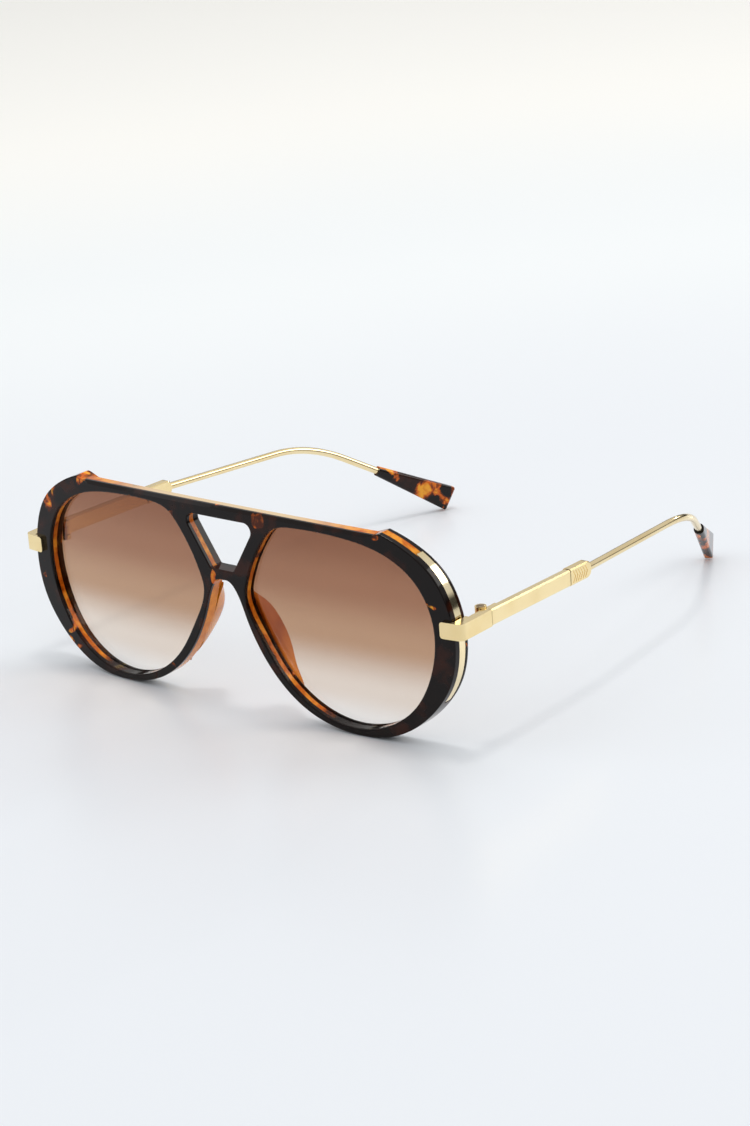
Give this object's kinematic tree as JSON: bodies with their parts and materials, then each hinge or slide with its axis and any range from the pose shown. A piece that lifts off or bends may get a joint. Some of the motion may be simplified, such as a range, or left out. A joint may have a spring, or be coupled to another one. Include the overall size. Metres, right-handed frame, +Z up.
{
  "type": "aviator sunglasses",
  "caption": "Wrap-front aviator sunglasses with tortoise acetate rims, a keyhole under a straight brow bar, gradient lenses and slim metal temples that fold on screw hinges.",
  "frame": {"origin": "middle of the base of the open sunglasses' bounding box, on the surface that the lower rims and the temple tips stand on", "axes": "+X to the wearer's left, +Y back along the temples towards the ears, +Z up"},
  "size_m": [0.1468, 0.1534, 0.0548],
  "materials": {
    "tortoise_acetate": "polished tortoise acetate, near black with amber patches",
    "tip_acetate": "polished tortoise acetate",
    "amber_acetate": "polished translucent amber acetate",
    "lens_tint": "brown tint, dark above and nearly clear below",
    "gold_plate": "pale gold plating, satin to polished",
    "gold_wire": "pale gold plating, polished",
    "gold_trim": "pale gold plating, mirror polished",
    "screw_metal": "gold coloured screw, a little darker"
  },
  "bodies": {
    "front": {"front_frame": "tortoise_acetate", "lens_left": "lens_tint", "lens_right": "lens_tint", "side_trim_left": "gold_trim", "side_trim_right": "gold_trim", "nose_pad_left": "amber_acetate", "nose_pad_right": "amber_acetate", "end_piece_left": "gold_plate", "end_piece_right": "gold_plate", "end_piece_pins_left": "gold_plate", "end_piece_pins_right": "gold_plate", "hinge_front_leaf_left": "gold_plate", "hinge_front_leaf_right": "gold_plate", "hinge_screw_left": "screw_metal", "hinge_screw_right": "screw_metal"},
    "temple_left": {"hinge_temple_leaf_left": "gold_plate", "temple_bar_left": "gold_plate", "temple_collar_left": "gold_plate", "temple_wire_left": "gold_wire", "temple_tip_left": "tip_acetate"},
    "temple_right": {"hinge_temple_leaf_right": "gold_plate", "temple_bar_right": "gold_plate", "temple_collar_right": "gold_plate", "temple_wire_right": "gold_wire", "temple_tip_right": "tip_acetate"}
  },
  "joints": [
    {"name": "fold_left", "type": "hinge", "parent": "front", "child": "temple_left", "pos_m": [0.07, -0.06096, 0.0326], "axis": [0, 0, 1], "range_deg": [0, 82]},
    {"name": "fold_right", "type": "hinge", "parent": "front", "child": "temple_right", "pos_m": [-0.07, -0.06096, 0.0326], "axis": [0, 0, -1], "range_deg": [0, 76]}
  ]
}
